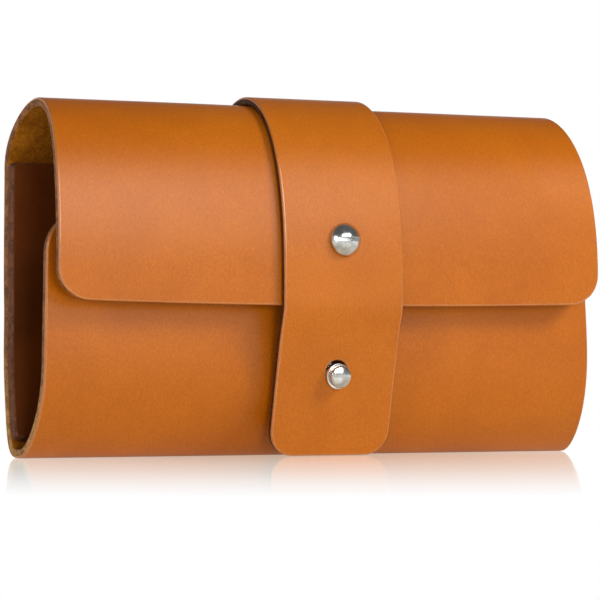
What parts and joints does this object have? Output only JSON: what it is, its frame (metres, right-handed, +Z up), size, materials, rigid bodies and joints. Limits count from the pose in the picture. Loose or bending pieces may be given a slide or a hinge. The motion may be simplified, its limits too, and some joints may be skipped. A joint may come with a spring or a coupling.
{
  "type": "folding eyeglasses case",
  "caption": "Thick leather eyeglasses case folded from one piece, open at both ends, with a flap and a strap that buttons over a steel stud.",
  "frame": {"origin": "middle of the flat strip of the bottom fold that the case rests on", "axes": "+X along the case, +Y towards the back, +Z up; the flap, the strap and the stud are at the front, -Y"},
  "size_m": [0.1696, 0.0496, 0.0982],
  "materials": {
    "hide_leather": "smooth vegetable-tanned grain, burnished edges, suede flesh side",
    "panel_leather": "smooth grain facing the inside of the case",
    "strap_leather": "smooth vegetable-tanned grain, burnished edges",
    "polished_steel": "polished nickel-plated steel"
  },
  "bodies": {
    "case": {"body_shell": "hide_leather", "inner_back_panel": "panel_leather", "strap_back": "strap_leather", "strap_screw": "polished_steel", "strap_screw_post": "polished_steel", "closing_stud": "polished_steel", "stud_screw": "polished_steel"},
    "flap": {"flap": "hide_leather", "strap_front": "strap_leather", "flap_screw": "polished_steel", "flap_screw_post": "polished_steel"},
    "strap_tail": {"strap_tail": "strap_leather"}
  },
  "joints": [
    {"name": "flap_fold", "type": "hinge", "parent": "case", "child": "flap", "pos_m": [0, 0.0191, 0.078], "axis": [-1, 0, 0], "range_deg": [0, 110]},
    {"name": "strap_bend", "type": "hinge", "parent": "flap", "child": "strap_tail", "pos_m": [0, -0.0258, 0.05], "axis": [-1, 0, 0], "range_deg": [0, 50], "stiffness_Nm_per_rad": 0.05}
  ]
}
